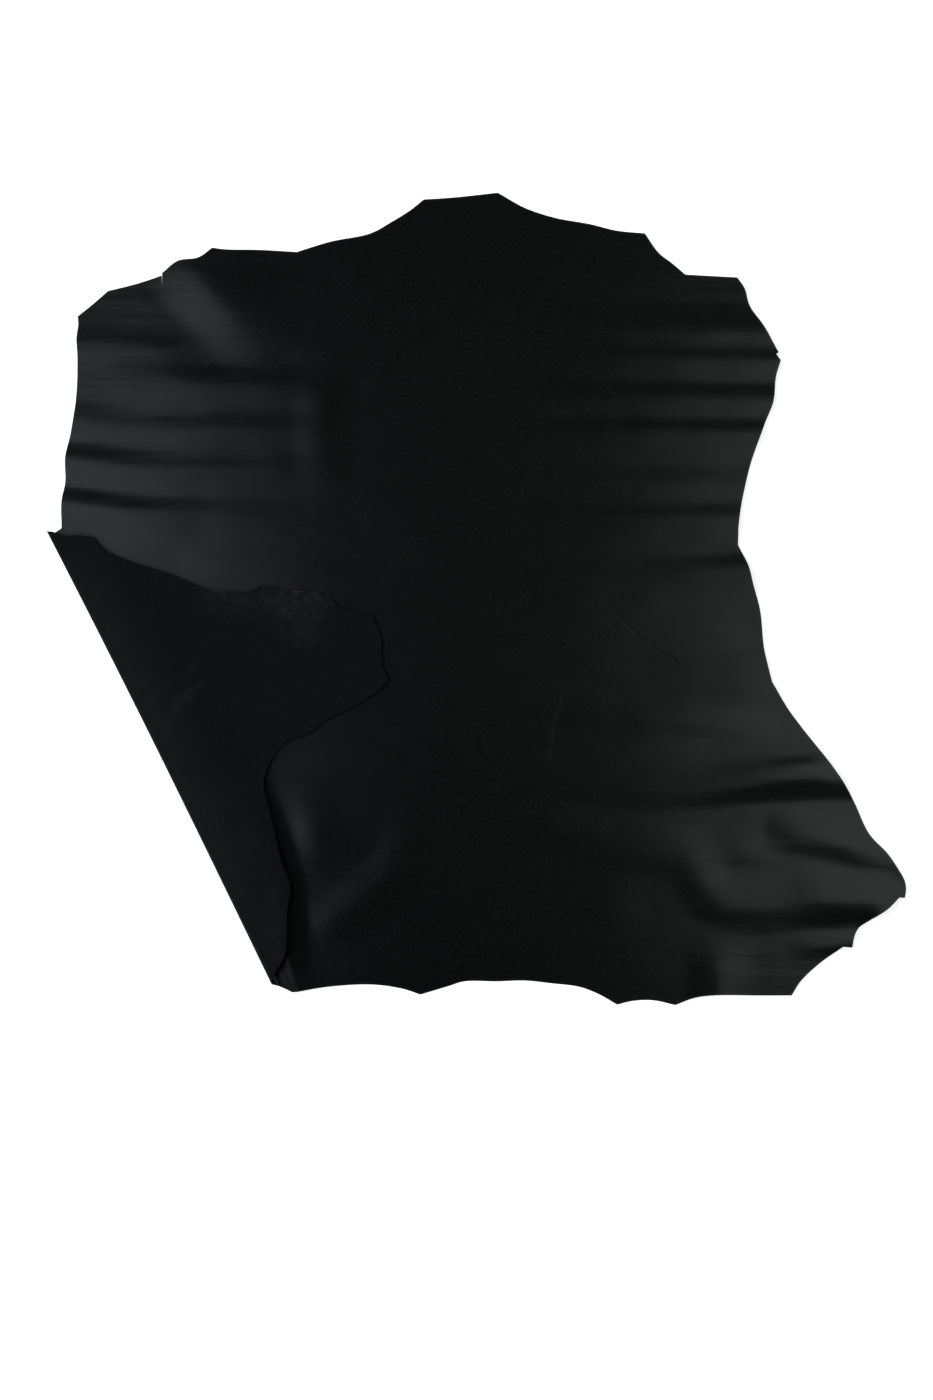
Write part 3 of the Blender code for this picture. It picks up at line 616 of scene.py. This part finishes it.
def add_node(tree, kind, settings=None, **inputs):
    made = tree.nodes.new(kind)
    for name, value in (settings or {}).items():
        setattr(made, name, value)
    set_inputs(tree, made, **inputs)
    return made


def maths(tree, operation, *values, clamp=False):
    made = add_node(tree, "ShaderNodeMath", {"operation": operation, "use_clamp": clamp})
    for socket, value in zip(made.inputs, values):
        feed(tree, socket, value)
    return made.outputs["Value"]


def add_up(tree, start, *layers):
    """The start with each layer added to it by the layer's own share."""
    total = start
    for layer, share in layers:
        total = maths(tree, "MULTIPLY_ADD", layer, share, total)
    return total


def vector_maths(tree, operation, *values, output="Vector"):
    made = add_node(tree, "ShaderNodeVectorMath", {"operation": operation})
    for socket, value in zip(made.inputs, values):
        feed(tree, socket, value)
    return made.outputs[output]


def scaled(tree, vector, scale):
    made = add_node(tree, "ShaderNodeVectorMath", {"operation": "SCALE"}, Scale=scale)
    feed(tree, made.inputs[0], vector)
    return made.outputs["Vector"]


def map_range(tree, value, from_low, from_high, to_low=0.0, to_high=1.0):
    made = add_node(tree, "ShaderNodeMapRange", {"interpolation_type": "SMOOTHSTEP"},
                    Value=value, From_Min=from_low, From_Max=from_high, To_Min=to_low, To_Max=to_high)
    return made.outputs["Result"]


def mix_colour(tree, factor, first, second):
    made = add_node(tree, "ShaderNodeMix", {"data_type": "RGBA"})
    for socket, value in zip((made.inputs[0], made.inputs[6], made.inputs[7]), (factor, first, second)):
        feed(tree, socket, value)
    return made.outputs[2]


def noise(tree, place, scale, detail=2.0, roughness=0.5, output="Fac"):
    made = add_node(tree, "ShaderNodeTexNoise", Vector=place, Scale=scale, Detail=detail,
                    Roughness=roughness)
    return made.outputs[output]


def bumped(tree, height, distance=1.0, strength=1.0):
    made = add_node(tree, "ShaderNodeBump", Strength=strength, Distance=distance, Height=height)
    return made.outputs["Normal"]


def new_group(name, vectors, numbers, outputs):
    """A shader node group, its vector inputs, number inputs and outputs made, and its sockets."""
    group = bpy.data.node_groups.new(name, "ShaderNodeTree")
    for socket in vectors:
        group.interface.new_socket(name=socket, in_out="INPUT", socket_type="NodeSocketVector")
    for socket, default in numbers.items():
        made = group.interface.new_socket(name=socket, in_out="INPUT", socket_type="NodeSocketFloat")
        made.default_value = default
    for socket in outputs:
        group.interface.new_socket(name=socket, in_out="OUTPUT", socket_type="NodeSocketFloat")
    given = group.nodes.new("NodeGroupInput").outputs
    result = group.nodes.new("NodeGroupOutput").inputs
    return group, given, result


def use_group(tree, group, **inputs):
    return add_node(tree, "ShaderNodeGroup", {"node_tree": group}, **inputs).outputs


# ---- effects shared by the materials

CLOUD_LOW, CLOUD_HIGH = 0.2, 0.8        # noise between these is spread over 0 to 1
MARK_END_FADE = 6.0                     # how fast a mark rises from nothing at its two ends
BREAKUP_SCALE, BREAKUP_DETAIL = 60.0, 3.0
NOISE_MIDDLE = 0.5
WAVER_SCALE, WAVER_DETAIL, WAVER_REACH = 22.0, 1.0, (0.03, 0.03, 0.0)


def cloud_group():
    """Soft cloudy variation at two scales, from 0 to 1."""
    group, given, result = new_group("leather clouds", ["Place"],
                                     {"Broad Scale": 3.0, "Fine Scale": 18.0}, ["Broad", "Fine"])
    for size in ("Broad", "Fine"):
        cloud = noise(group, given["Place"], given[size + " Scale"])
        group.links.new(map_range(group, cloud, CLOUD_LOW, CLOUD_HIGH), result[size])
    return group


def mark_group():
    """A soft line between two places, 1 along its middle and 0 outside."""
    group, given, result = new_group("leather mark", ["Place", "From", "To"], {"Width": 0.004}, ["Mask"])
    away = vector_maths(group, "SUBTRACT", given["Place"], given["From"])
    run = vector_maths(group, "SUBTRACT", given["To"], given["From"])
    along = vector_maths(group, "DOT_PRODUCT", away, run, output="Value")
    run_squared = vector_maths(group, "DOT_PRODUCT", run, run, output="Value")
    t = maths(group, "DIVIDE", along, run_squared, clamp=True)
    distance = vector_maths(group, "DISTANCE", away, scaled(group, run, t), output="Value")
    near = maths(group, "SUBTRACT", 1.0, maths(group, "DIVIDE", distance, given["Width"]), clamp=True)
    ends = maths(group, "MULTIPLY", t, maths(group, "SUBTRACT", 1.0, t))
    fade = maths(group, "MULTIPLY", ends, MARK_END_FADE, clamp=True)
    group.links.new(maths(group, "MULTIPLY", near, fade), result["Mask"])
    return group


def edge_group():
    """How near the cut edge a place is, 1 at the edge and 0 from Width inwards, broken up by noise."""
    group, given, result = new_group("near the cut edge", ["Place"], {"Width": 0.010}, ["Mask"])
    distance = add_node(group, "ShaderNodeAttribute", {"attribute_name": "from_edge"}).outputs["Fac"]
    breakup = noise(group, given["Place"], BREAKUP_SCALE, BREAKUP_DETAIL)
    reach = maths(group, "MULTIPLY", given["Width"], maths(group, "ADD", breakup, NOISE_MIDDLE))
    near = maths(group, "SUBTRACT", 1.0, maths(group, "DIVIDE", distance, reach), clamp=True)
    group.links.new(near, result["Mask"])
    return group


# The node groups that the leather's three materials share
Effects = namedtuple("Effects", "clouds mark near_edge")


# ---- materials

# Clouds in each finish: their scales, and what each adds to the tone, which scales the colour
Clouds = namedtuple("Clouds", "broad_scale fine_scale broad_tone fine_tone")
GRAIN_CLOUDS = Clouds(2.6, 16.0, 0.10, 0.14)
FLESH_CLOUDS = Clouds(7.0, 45.0, 0.18, 0.14)
EDGE_CLOUDS = Clouds(12.0, 400.0, 0.30, 0.60)

# Relief of the grain: each pattern's scale, what its places are multiplied by so that it is drawn
# out across the hide, and its height
PEBBLE_HEIGHT = 0.00003
WRINKLE_SCALE, WRINKLE_DRAW, WRINKLE_HEIGHT = 170.0, (0.45, 1.0, 1.0), 0.00006
STREAK_SCALE, STREAK_DRAW, STREAK_HEIGHT = 24.0, (0.14, 1.0, 1.0), 0.0010
FIRM_HALF_WIDTH, SOFT_HALF_WIDTH = 0.15, 0.60     # streaks grow from the backbone to the bellies
FIRM_STREAKS = 0.25                               # their share along the backbone
WRINKLE_ROUGHNESS = 0.6                           # of the noise behind the wrinkles and the specks

# Tone of the grain: what it is at the rump and at the neck, and what its specks add or take
# Painted shade: the grain's tone darkens from the neck towards the rump
RUMP_END, NECK_END = -1.1, 0.7
RUMP_SHADED_TONE, NECK_LIT_TONE = 0.62, 1.04
SPECK_SCALE, SPECK_TONE, SPECK_LOW, SPECK_HIGH = 100.0, 0.24, 0.35, 0.65
GRAIN_WEAR, GRAIN_WEAR_WIDTH = 0.3, 0.007         # the raw edge's colour shows through beside it

# Gloss of the grain: what the clouds and the marks add to its roughness, and its specular level
BROAD_DULLING, FINE_DULLING, MARK_DULLING = 0.012, 0.014, 0.06
GRAIN_SPECULAR = 0.5
# Painted shade: near the folded leg, ambient occlusion darkens the grain's colour and lowers its specular
# level
SHADE_REACH, SHADE_POWER = 0.045, 2.5             # shade of the folded leg on the grain beside it

# Flesh side: its plain tone, and the scale and tone of its nap and of its tufts
FLESH_TONE = 0.58
NAP_TURN, NAP_DRAW = math.radians(35), (1.0, 2.5, 1.0)
NAP_SCALE, NAP_TONE, NAP_HEIGHT = 260.0, 0.28, 0.0006
TUFT_SCALE, TUFT_TONE, TUFT_LOW, TUFT_HIGH = 48.0, 0.22, 0.35, 0.70

# Loose fibres: how much of the leather they hide as a film, in tufts, as specks and on the rim
FILM_COVER, TUFT_COVER, SPECK_COVER, RIM_COVER = 0.06, 0.12, 0.35, 0.9
FIBRE_LOW, FIBRE_HIGH = 0.66, 0.76                # the nap between these turns into specks
# The rim is partly loose fibres and partly a painted highlight along the edge that faces the light
RIM_WIDTH = 0.004

EDGE_TONE = 0.55
EDGE_FIBRE_SCALE, EDGE_FIBRE_HEIGHT = 1500.0, 0.0002


def new_material(name):
    material = bpy.data.materials.new(name)
    material.use_nodes = True
    tree = material.node_tree
    return material, tree, tree.nodes["Principled BSDF"]


def cut_place(tree):
    """Places on the flat hide, so that a pattern follows the leather round the fold."""
    return add_node(tree, "ShaderNodeAttribute", {"attribute_name": "cut_place"}).outputs["Vector"]


def wavering(tree, place):
    """The place moved a little to and fro, so that a straight line there wavers."""
    waver = noise(tree, place, WAVER_SCALE, WAVER_DETAIL, output="Color")
    centred = vector_maths(tree, "SUBTRACT", waver, (NOISE_MIDDLE, NOISE_MIDDLE, NOISE_MIDDLE))
    return vector_maths(tree, "ADD", place, vector_maths(tree, "MULTIPLY", centred, WAVER_REACH))


def masked_marks(tree, place, effects, marks):
    """Each mark with the mask of where it lies."""
    return [(mark, use_group(tree, effects.mark, Place=place, From=(*mark.start, 0.0),
                             To=(*mark.end, 0.0), Width=mark.width)["Mask"])
            for mark in marks]


def marks_tone(tree, masked):
    return add_up(tree, 0.0, *((mask, mark.tone) for mark, mask in masked))


def use_clouds(tree, place, effects, clouds):
    return use_group(tree, effects.clouds, Place=place, Broad_Scale=clouds.broad_scale,
                     Fine_Scale=clouds.fine_scale)


def grain_relief(tree, place, across, masked, finish):
    """Fine pebbles, wrinkles and streaks that run across the hide, and its natural lines."""
    pebbles = add_node(tree, "ShaderNodeTexVoronoi", Vector=place, Scale=1 / finish.pebble)
    wrinkles = noise(tree, vector_maths(tree, "MULTIPLY", place, WRINKLE_DRAW), WRINKLE_SCALE,
                     roughness=WRINKLE_ROUGHNESS)
    streaks = noise(tree, vector_maths(tree, "MULTIPLY", place, STREAK_DRAW), STREAK_SCALE)
    belly = map_range(tree, maths(tree, "ABSOLUTE", across), FIRM_HALF_WIDTH, SOFT_HALF_WIDTH,
                      FIRM_STREAKS, 1.0)
    height = add_up(tree, 0.0, (pebbles.outputs["Distance"], PEBBLE_HEIGHT), (wrinkles, WRINKLE_HEIGHT),
                    (streaks, maths(tree, "MULTIPLY", belly, STREAK_HEIGHT)),
                    *((mask, mark.height) for mark, mask in masked))
    return bumped(tree, height)


def grain_material(finish, effects):
    """Semi-matt pigmented grain: fine pebbles, cloudy gloss, small streaks and a few natural lines, with
    painted shade beside the folded leg.
    """
    material, tree, shader = new_material("black_grain")
    place = cut_place(tree)
    axes = add_node(tree, "ShaderNodeSeparateXYZ", Vector=place).outputs
    clouds = use_clouds(tree, place, effects, GRAIN_CLOUDS)
    masked = masked_marks(tree, wavering(tree, place), effects, GRAIN_MARKS)
    mark_tone = marks_tone(tree, masked)

    specks = noise(tree, place, SPECK_SCALE, roughness=WRINKLE_ROUGHNESS)
    mottle = map_range(tree, specks, SPECK_LOW, SPECK_HIGH, -SPECK_TONE, SPECK_TONE)
    # painted shade: the tone falls from the neck towards the rump
    tone = add_up(tree, map_range(tree, axes["Y"], RUMP_END, NECK_END, RUMP_SHADED_TONE, NECK_LIT_TONE),
                  (clouds["Fine"], GRAIN_CLOUDS.fine_tone), (clouds["Broad"], GRAIN_CLOUDS.broad_tone),
                  (mottle, 1.0), (mark_tone, 1.0))
    worn = use_group(tree, effects.near_edge, Place=place, Width=GRAIN_WEAR_WIDTH)["Mask"]
    base = mix_colour(tree, maths(tree, "MULTIPLY", worn, GRAIN_WEAR),
                      scaled(tree, finish.grain_colour[:3], tone), tuple(finish.edge_colour))
    # Painted shade: ambient occlusion darkens the grain's colour and specular level beside the folded leg
    leg_occlusion = add_node(tree, "ShaderNodeAmbientOcclusion", {"samples": 1}, Distance=SHADE_REACH)
    painted_leg_shade = maths(tree, "POWER", leg_occlusion.outputs["AO"], SHADE_POWER)
    roughness = add_up(tree, finish.grain_gloss, (clouds["Broad"], BROAD_DULLING),
                       (clouds["Fine"], FINE_DULLING), (mark_tone, MARK_DULLING))
    set_inputs(tree, shader, Base_Color=mix_colour(tree, painted_leg_shade, (0.0, 0.0, 0.0, 1.0), base),
               Roughness=roughness, Specular_IOR_Level=maths(tree, "MULTIPLY", painted_leg_shade, GRAIN_SPECULAR),
               Normal=grain_relief(tree, place, axes["X"], masked, finish))
    return material


def flesh_material(finish, effects):
    """Dyed suede: matt, blotchy, with a short nap, a painted sheen along the fold and paler loose fibres
    along part of its edge.
    """
    material, tree, shader = new_material("black_flesh_side")
    place = cut_place(tree)
    wavered = wavering(tree, place)
    clouds = use_clouds(tree, place, effects, FLESH_CLOUDS)
    lie = add_node(tree, "ShaderNodeMapping", {"vector_type": "POINT"}, Vector=place,
                   Rotation=(0.0, 0.0, NAP_TURN)).outputs["Vector"]
    drawn = vector_maths(tree, "MULTIPLY", lie, NAP_DRAW)
    nap = noise(tree, drawn, NAP_SCALE, detail=3.0, roughness=0.7)
    tuft = noise(tree, place, TUFT_SCALE, detail=3.0, roughness=0.65)
    tufts = map_range(tree, tuft, TUFT_LOW, TUFT_HIGH)
    # FLESH_MARKS include a painted sheen, paler along the fold
    mark_tone = marks_tone(tree, masked_marks(tree, wavered, effects, FLESH_MARKS))
    tone = add_up(tree, FLESH_TONE, (clouds["Fine"], FLESH_CLOUDS.fine_tone),
                  (clouds["Broad"], FLESH_CLOUDS.broad_tone), (nap, NAP_TONE), (tufts, TUFT_TONE),
                  (mark_tone, 1.0))

    patches = marks_tone(tree, masked_marks(tree, wavered, effects, LOOSE_PATCHES))
    loose = maths(tree, "MINIMUM", patches, 1.0)
    specks = map_range(tree, nap, FIBRE_LOW, FIBRE_HIGH, 0.0, SPECK_COVER)
    fibres = maths(tree, "MULTIPLY", loose, add_up(tree, FILM_COVER, (tufts, TUFT_COVER), (specks, 1.0)))
    # Rim: loose fibres, and painted highlight along the edge that faces the light
    near_edge = use_group(tree, effects.near_edge, Place=place, Width=RIM_WIDTH)["Mask"]
    rim_fibres_and_highlight = maths(tree, "MULTIPLY", near_edge, maths(tree, "MULTIPLY", loose, tufts))
    fibres = maths(tree, "MAXIMUM", fibres, maths(tree, "MULTIPLY", rim_fibres_and_highlight, RIM_COVER))
    suede = scaled(tree, finish.flesh_colour[:3], tone)
    base = mix_colour(tree, fibres, suede, tuple(finish.fibre_colour))

    set_inputs(tree, shader, Base_Color=base, Roughness=0.92, Specular_IOR_Level=0.12, Sheen_Weight=0.05,
               Sheen_Roughness=0.45, Sheen_Tint=(0.55, 0.65, 0.80, 1.0),
               Normal=bumped(tree, nap, NAP_HEIGHT, strength=0.7))
    return material


def edge_material(finish, effects):
    """Raw cut edge, fibrous and dull."""
    material, tree, shader = new_material("black_cut_edge")
    place = cut_place(tree)
    clouds = use_clouds(tree, place, effects, EDGE_CLOUDS)
    tone = add_up(tree, EDGE_TONE, (clouds["Fine"], EDGE_CLOUDS.fine_tone),
                  (clouds["Broad"], EDGE_CLOUDS.broad_tone))
    fibres = noise(tree, place, EDGE_FIBRE_SCALE)
    set_inputs(tree, shader, Base_Color=scaled(tree, finish.edge_colour[:3], tone), Roughness=0.85,
               Normal=bumped(tree, fibres, EDGE_FIBRE_HEIGHT, strength=0.6))
    return material


def floor_material(studio):
    material, tree, shader = new_material("studio_floor")
    mottle = add_node(tree, "ShaderNodeTexNoise", Scale=FLOOR_MOTTLE_SCALE, Detail=2.0).outputs["Fac"]
    tone = add_up(tree, FLOOR_TONE, (mottle, FLOOR_MOTTLE))
    set_inputs(tree, shader, Base_Color=scaled(tree, studio.floor_colour[:3], tone), Roughness=0.8,
               Specular_IOR_Level=0.0, Emission_Color=(1.0, 1.0, 1.0, 1.0),
               Emission_Strength=studio.floor_glow)
    return material


# ---- the studio

FLOOR_SIZE = 60.0
FLOOR_DROP = 0.0003         # the floor lies this far under the hide, so that their faces don't meet
FLOOR_MOTTLE_SCALE, FLOOR_MOTTLE, FLOOR_TONE = 1.5, 0.02, 0.99
CAMERA_PLACE = (-0.0250, -0.2528)
SENSOR_HEIGHT = 24.0

# Soft lights: place, the point they face, their size and whether the leather mirrors them
Panel = namedtuple("Panel", "name place aim size colour mirrored")
OVERHEAD = Panel("overhead", (-0.3, 0.9, 5.2), (-0.1, 0.2, 0.0), (6.0, 6.0), (1.0, 1.0, 1.0), False)
LEFT = Panel("left_panel", (-2.62, -0.16, 4.0), (-2.62, -0.16, 0.0), (2.46, 3.46), (0.82, 0.92, 1.0), True)
RIGHT = Panel("right_panel", (2.84, -0.05, 4.0), (2.84, -0.05, 0.0), (3.14, 3.30), (0.95, 1.0, 0.97), True)
KEY_FROM = (-1.0, 0.30, 0.62)
KEY_SPREAD = math.radians(14)
BACKGROUND = (1.0, 1.0, 1.0, 1.0)
DIM_CEILING = (0.007, 0.0075, 0.008, 1.0)
PALE_WALLS = (0.32, 0.34, 0.35, 1.0)
WALL_TOP, CEILING_START = 0.30, 0.55         # sines of the heights between which the walls fade out


def add_light(name, kind, power, facing, mirrored):
    light = bpy.data.lights.new(name, kind)
    light.energy = power
    lamp = bpy.data.objects.new(name, light)
    lamp.rotation_euler = facing.to_track_quat("-Z", "Y").to_euler()
    lamp.visible_glossy = mirrored
    lamp.visible_camera = False
    bpy.context.scene.collection.objects.link(lamp)
    return lamp


def add_panel(panel, power):
    facing = Vector(panel.aim) - Vector(panel.place)
    lamp = add_light(panel.name, "AREA", power, facing, panel.mirrored)
    lamp.data.shape = "RECTANGLE"
    lamp.data.color = panel.colour
    lamp.data.size, lamp.data.size_y = panel.size
    lamp.location = panel.place


def add_key(strength):
    lamp = add_light("key", "SUN", strength, -Vector(KEY_FROM), False)
    lamp.data.angle = KEY_SPREAD


def add_floor(studio):
    half = FLOOR_SIZE / 2
    corners = [(-half, -half), (half, -half), (half, half), (-half, half)]
    mesh = bpy.data.meshes.new("studio_floor")
    mesh.from_pydata([(x, y, HIDE_LOW.z - FLOOR_DROP) for x, y in corners], [], [(0, 1, 2, 3)])
    mesh.materials.append(floor_material(studio))
    floor = bpy.data.objects.new("studio_floor", mesh)
    bpy.context.scene.collection.objects.link(floor)


def add_camera(studio):
    camera = bpy.data.cameras.new("overhead_camera")
    camera.sensor_fit = "VERTICAL"
    camera.sensor_height = SENSOR_HEIGHT
    camera.lens = SENSOR_HEIGHT * studio.camera_height / studio.view_length
    holder = bpy.data.objects.new("overhead_camera", camera)
    holder.location = (*CAMERA_PLACE, studio.camera_height)
    bpy.context.scene.collection.objects.link(holder)
    bpy.context.scene.camera = holder


def set_world():
    """A white surround for the camera, and pale walls under a dim ceiling for the leather to mirror."""
    world = bpy.data.worlds.new("studio")
    world.use_nodes = True
    bpy.context.scene.world = world
    tree = world.node_tree
    seen = add_node(tree, "ShaderNodeLightPath").outputs["Is Camera Ray"]
    direction = add_node(tree, "ShaderNodeTexCoord").outputs["Generated"]
    upward = add_node(tree, "ShaderNodeSeparateXYZ", Vector=direction).outputs["Z"]
    walls = map_range(tree, upward, WALL_TOP, CEILING_START, 1.0, 0.0)
    room = mix_colour(tree, walls, DIM_CEILING, PALE_WALLS)
    set_inputs(tree, tree.nodes["Background"], Color=mix_colour(tree, seen, room, BACKGROUND))


# ---- operators

class LEATHER_OT_fold_hide(bpy.types.Operator):
    """Cut the hide flat, fold its left hind leg over and finish its grain, flesh side and edge"""

    bl_idname = "leather.fold_hide"
    bl_label = "Fold the hide"

    def execute(self, context):
        settings = context.scene.leather_hide
        finish = context.scene.leather_finish
        hide, area = leather_sheet(settings)
        effects = Effects(cloud_group(), mark_group(), edge_group())
        for make in (grain_material, flesh_material, edge_material):
            hide.data.materials.append(make(finish, effects))
        apply_modifiers(hide)
        edge = cut_edge(settings.edge_step)
        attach(hide, "root")
        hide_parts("hide")
        return {"FINISHED"}


class LEATHER_OT_set_studio(bpy.types.Operator):
    """Add the pale floor, the soft lights and the camera looking straight down"""

    bl_idname = "leather.set_studio"
    bl_label = "Set the studio"

    def execute(self, context):
        studio = context.scene.leather_studio
        add_floor(studio)
        add_key(studio.key_strength)
        add_panel(OVERHEAD, studio.overhead_power)
        add_panel(LEFT, studio.left_power)
        add_panel(RIGHT, studio.right_power)
        add_camera(studio)
        set_world()
        context.scene.view_settings.view_transform = "Standard"
        return {"FINISHED"}


class LEATHER_PT_hide(bpy.types.Panel):
    """The hide's and the studio's settings and operators"""

    bl_idname = "LEATHER_PT_hide"
    bl_label = "Leather hide"
    bl_space_type = "VIEW_3D"
    bl_region_type = "UI"
    bl_category = "Leather"

    def draw(self, context):
        for group, operator in ((context.scene.leather_hide, None),
                                (context.scene.leather_finish, LEATHER_OT_fold_hide),
                                (context.scene.leather_studio, LEATHER_OT_set_studio)):
            column = self.layout.column()
            for name in group.__annotations__:
                column.prop(group, name)
            if operator:
                column.operator(operator.bl_idname)


CLASSES = (HideSizes, HideFinish, StudioSettings, LEATHER_OT_fold_hide, LEATHER_OT_set_studio,
           LEATHER_PT_hide)


def register():
    for made in CLASSES:
        bpy.utils.register_class(made)
    bpy.types.Scene.leather_hide = PointerProperty(type=HideSizes)
    bpy.types.Scene.leather_finish = PointerProperty(type=HideFinish)
    bpy.types.Scene.leather_studio = PointerProperty(type=StudioSettings)


def unregister():
    del bpy.types.Scene.leather_hide
    del bpy.types.Scene.leather_finish
    del bpy.types.Scene.leather_studio
    for made in reversed(CLASSES):
        bpy.utils.unregister_class(made)


def main():
    register()
    bpy.ops.leather.fold_hide()
    bpy.ops.leather.set_studio()
    bpy.context.view_layer.update()


if __name__ == "__main__":
    main()
